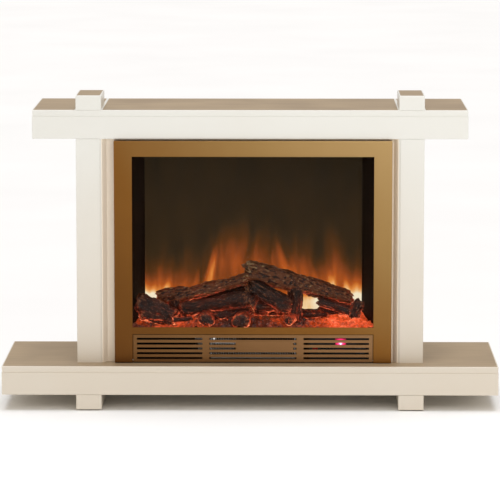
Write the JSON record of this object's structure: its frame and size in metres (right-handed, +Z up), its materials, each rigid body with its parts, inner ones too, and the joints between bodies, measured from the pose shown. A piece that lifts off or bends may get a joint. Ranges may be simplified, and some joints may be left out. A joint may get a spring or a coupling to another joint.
{
  "type": "electric fireplace",
  "caption": "Free-standing electric fireplace: lacquered beam-and-post surround with a brass-framed flame-effect fire, log set and fan heater behind a drop-down grille.",
  "frame": {"origin": "on the floor, under the middle of the hearth's width and depth", "axes": "+X to the fire's right as seen from the front, +Y to the wall behind, +Z up"},
  "size_m": [1.2, 0.36, 0.759],
  "materials": {
    "white_lacquer": "satin white lacquer on fibreboard",
    "cream_lacquer": "satin cream lacquer on fibreboard",
    "taupe_laminate": "satin taupe laminate",
    "raw_board": "raw chipboard and softwood",
    "felt": "dark felt-faced glide",
    "zinc_steel": "bright zinc plating",
    "antique_brass": "satin antique brass",
    "black_rubber": "black silicone rubber",
    "clear_glass": "clear float glass",
    "black_steel": "matt black powder coat",
    "black_screws": "blackened steel",
    "black_plastic": "black moulded plastic",
    "black_rocker": "black gloss plastic",
    "red_rocker": "translucent red plastic",
    "red_lens": "lit red plastic",
    "ember_resin": "translucent moulded ember bed, lit from below",
    "log_ceramic": "cast ceramic fibre, painted as bark and charcoal",
    "flame_acrylic": "smoked translucent acrylic with the flame picture on it",
    "bright_aluminium": "bright aluminium sheet",
    "circuit_board": "green solder mask"
  },
  "bodies": {
    "surround_and_fire": {"hearth_top": "white_lacquer", "hearth_front": "white_lacquer", "hearth_end_left": "white_lacquer", "hearth_end_right": "white_lacquer", "hearth_base": "white_lacquer", "hearth_ribs": "raw_board", "hearth_inlay": "taupe_laminate", "foot_left": "white_lacquer", "foot_right": "white_lacquer", "foot_glides": "felt", "post_left": "white_lacquer", "post_right": "white_lacquer", "reveal_strips": "cream_lacquer", "infill_panel": "cream_lacquer", "mantel_top": "white_lacquer", "mantel_front": "white_lacquer", "mantel_end_left": "white_lacquer", "mantel_end_right": "white_lacquer", "mantel_base": "white_lacquer", "mantel_ribs": "raw_board", "mantel_inlays": "taupe_laminate", "post_cap_left": "white_lacquer", "post_cap_right": "white_lacquer", "wall_brackets": "zinc_steel", "fascia_frame": "antique_brass", "glass_gasket": "black_rubber", "glass_pane": "clear_glass", "glass_clips": "zinc_steel", "chassis_wrap": "black_steel", "chassis_base": "black_steel", "rear_cover": "black_steel", "case_screws": "black_screws", "cord_gland": "black_plastic", "cheek_left": "black_steel", "cheek_right": "black_steel", "ember_tray": "black_steel", "ember_bed": "ember_resin", "log_back_left": "log_ceramic", "log_top_right": "log_ceramic", "logs_front": "log_ceramic", "twigs": "log_ceramic", "flame_screen": "flame_acrylic", "flame_mask": "bright_aluminium", "spindle_motor": "zinc_steel", "flame_led_board": "circuit_board", "ember_led_board": "circuit_board", "blower_housing": "black_plastic", "blower_motor": "zinc_steel", "heating_element": "bright_aluminium", "control_panel": "black_plastic", "control_board": "circuit_board", "indicator_lamp": "red_lens", "flap_pins": "zinc_steel"},
    "spindle": {"flicker_spindle": "bright_aluminium"},
    "impeller": {"blower_impeller": "black_plastic"},
    "flap": {"grille_flap": "antique_brass"},
    "flame_rocker": {"flame_switch": "red_rocker"},
    "low_heat_rocker": {"low_heat_switch": "black_rocker"},
    "high_heat_rocker": {"high_heat_switch": "black_rocker"},
    "thermostat": {"thermostat_knob": "black_rocker"}
  },
  "joints": [
    {"name": "spindle_spin", "type": "hinge", "parent": "surround_and_fire", "child": "spindle", "pos_m": [0.007, 0.028, 0.2215], "axis": [1, 0, 0], "continuous": true},
    {"name": "impeller_spin", "type": "hinge", "parent": "surround_and_fire", "child": "impeller", "pos_m": [0.007, 0.03, 0.1475], "axis": [1, 0, 0], "continuous": true},
    {"name": "flap_drop", "type": "hinge", "parent": "surround_and_fire", "child": "flap", "pos_m": [0.007, -0.127, 0.1145], "axis": [1, 0, 0], "range_deg": [0, 80]},
    {"name": "flame_rocker_press", "type": "hinge", "parent": "surround_and_fire", "child": "flame_rocker", "pos_m": [0.158, -0.1095, 0.14], "axis": [1, 0, 0], "range_deg": [0, 16]},
    {"name": "low_heat_rocker_press", "type": "hinge", "parent": "surround_and_fire", "child": "low_heat_rocker", "pos_m": [0.178, -0.1095, 0.14], "axis": [1, 0, 0], "range_deg": [0, 16]},
    {"name": "high_heat_rocker_press", "type": "hinge", "parent": "surround_and_fire", "child": "high_heat_rocker", "pos_m": [0.198, -0.1095, 0.14], "axis": [1, 0, 0], "range_deg": [0, 16]},
    {"name": "thermostat_turn", "type": "hinge", "parent": "surround_and_fire", "child": "thermostat", "pos_m": [0.267, -0.112, 0.14], "axis": [0, 1, 0], "range_deg": [0, 270]}
  ]
}
